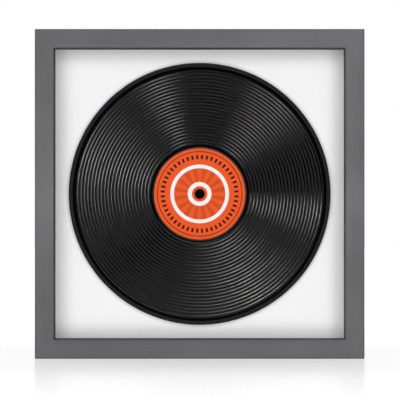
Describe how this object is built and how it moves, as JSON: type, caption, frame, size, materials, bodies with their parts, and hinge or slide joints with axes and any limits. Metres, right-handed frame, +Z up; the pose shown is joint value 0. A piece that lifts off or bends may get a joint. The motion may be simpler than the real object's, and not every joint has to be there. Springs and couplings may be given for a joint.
{
  "type": "vinyl record frame",
  "caption": "Square grey wall frame with clear glazing that shows a 12-inch record on a centre peg over a white mat, with turn buttons and D-ring hangers behind.",
  "frame": {"origin": "under the middle of the bottom rail, at half the mouldings' depth, on the face that it stands on", "axes": "+Z up, -Y out of the front through the glazing, +X to the right seen from the front"},
  "size_m": [0.3786, 0.0366, 0.3786],
  "materials": {
    "frame_paint": "matt dark grey paint on wood, with a very fine mottle",
    "clear_acrylic": "clear, polished",
    "black_spacer": "matt black",
    "white_mat": "matt white, very fine paper grain",
    "white_foam": "matt white paper face",
    "brown_hardboard": "brown hardboard",
    "record_vinyl": "glossy black, ringed",
    "label_paper": "orange printed paper",
    "black_plastic": "satin black",
    "nail_steel": "plain steel strip",
    "screw_steel": "bright zinc plating",
    "zinc_plate": "bright zinc plating",
    "grey_felt": "soft dark grey pad"
  },
  "bodies": {
    "frame": {"top_rail": "frame_paint", "bottom_rail": "frame_paint", "left_stile": "frame_paint", "right_stile": "frame_paint", "glazing_sheet": "clear_acrylic", "spacer_top": "black_spacer", "spacer_bottom": "black_spacer", "spacer_left": "black_spacer", "spacer_right": "black_spacer", "mat_board": "white_mat", "foam_board": "white_foam", "backing_board": "brown_hardboard", "centre_peg": "black_plastic", "peg_nut": "black_plastic", "corner_nail_bottom_right_inner": "nail_steel", "corner_nail_bottom_right_outer": "nail_steel", "corner_nail_bottom_left_inner": "nail_steel", "corner_nail_bottom_left_outer": "nail_steel", "corner_nail_top_left_inner": "nail_steel", "corner_nail_top_left_outer": "nail_steel", "corner_nail_top_right_inner": "nail_steel", "corner_nail_top_right_outer": "nail_steel", "turn_screw_bottom_left": "screw_steel", "turn_screw_bottom_right": "screw_steel", "turn_screw_left_upper": "screw_steel", "turn_screw_left_lower": "screw_steel", "turn_screw_top_right": "screw_steel", "turn_screw_top_left": "screw_steel", "turn_screw_right_lower": "screw_steel", "turn_screw_right_upper": "screw_steel", "hanger_strap_left": "zinc_plate", "hanger_strap_right": "zinc_plate", "hanger_screw_left": "screw_steel", "hanger_screw_right": "screw_steel", "wall_bumper_left": "grey_felt", "wall_bumper_right": "grey_felt"},
    "record": {"record_disc": "record_vinyl", "front_label": "label_paper", "back_label": "label_paper"},
    "turn_button_bottom_left": {"turn_button_bottom_left": "zinc_plate"},
    "turn_button_bottom_right": {"turn_button_bottom_right": "zinc_plate"},
    "turn_button_left_upper": {"turn_button_left_upper": "zinc_plate"},
    "turn_button_left_lower": {"turn_button_left_lower": "zinc_plate"},
    "turn_button_top_right": {"turn_button_top_right": "zinc_plate"},
    "turn_button_top_left": {"turn_button_top_left": "zinc_plate"},
    "turn_button_right_lower": {"turn_button_right_lower": "zinc_plate"},
    "turn_button_right_upper": {"turn_button_right_upper": "zinc_plate"},
    "hanger_ring_left": {"hanger_ring_left": "zinc_plate"},
    "hanger_ring_right": {"hanger_ring_right": "zinc_plate"}
  },
  "joints": [
    {"name": "record_spin", "type": "hinge", "parent": "frame", "child": "record", "pos_m": [0, 0.00275, 0.1893], "axis": [0, -1, 0], "continuous": true},
    {"name": "turn_button_bottom_left_turn", "type": "hinge", "parent": "frame", "child": "turn_button_bottom_left", "pos_m": [-0.11358, 0.01605, 0.0088], "axis": [0, 1, 0], "continuous": true},
    {"name": "turn_button_bottom_right_turn", "type": "hinge", "parent": "frame", "child": "turn_button_bottom_right", "pos_m": [0.11358, 0.01605, 0.0088], "axis": [0, 1, 0], "continuous": true},
    {"name": "turn_button_left_upper_turn", "type": "hinge", "parent": "frame", "child": "turn_button_left_upper", "pos_m": [-0.1805, 0.01605, 0.30288], "axis": [0, 1, 0], "continuous": true},
    {"name": "turn_button_left_lower_turn", "type": "hinge", "parent": "frame", "child": "turn_button_left_lower", "pos_m": [-0.1805, 0.01605, 0.07572], "axis": [0, 1, 0], "continuous": true},
    {"name": "turn_button_top_right_turn", "type": "hinge", "parent": "frame", "child": "turn_button_top_right", "pos_m": [0.11358, 0.01605, 0.3698], "axis": [0, 1, 0], "continuous": true},
    {"name": "turn_button_top_left_turn", "type": "hinge", "parent": "frame", "child": "turn_button_top_left", "pos_m": [-0.11358, 0.01605, 0.3698], "axis": [0, 1, 0], "continuous": true},
    {"name": "turn_button_right_lower_turn", "type": "hinge", "parent": "frame", "child": "turn_button_right_lower", "pos_m": [0.1805, 0.01605, 0.07572], "axis": [0, 1, 0], "continuous": true},
    {"name": "turn_button_right_upper_turn", "type": "hinge", "parent": "frame", "child": "turn_button_right_upper", "pos_m": [0.1805, 0.01605, 0.30288], "axis": [0, 1, 0], "continuous": true},
    {"name": "hanger_ring_left_swing", "type": "hinge", "parent": "frame", "child": "hanger_ring_left", "pos_m": [-0.1805, 0.01785, 0.25253], "axis": [1, 0, 0], "range_deg": [-3, 183]},
    {"name": "hanger_ring_right_swing", "type": "hinge", "parent": "frame", "child": "hanger_ring_right", "pos_m": [0.1805, 0.01785, 0.25253], "axis": [1, 0, 0], "range_deg": [-3, 183]}
  ]
}
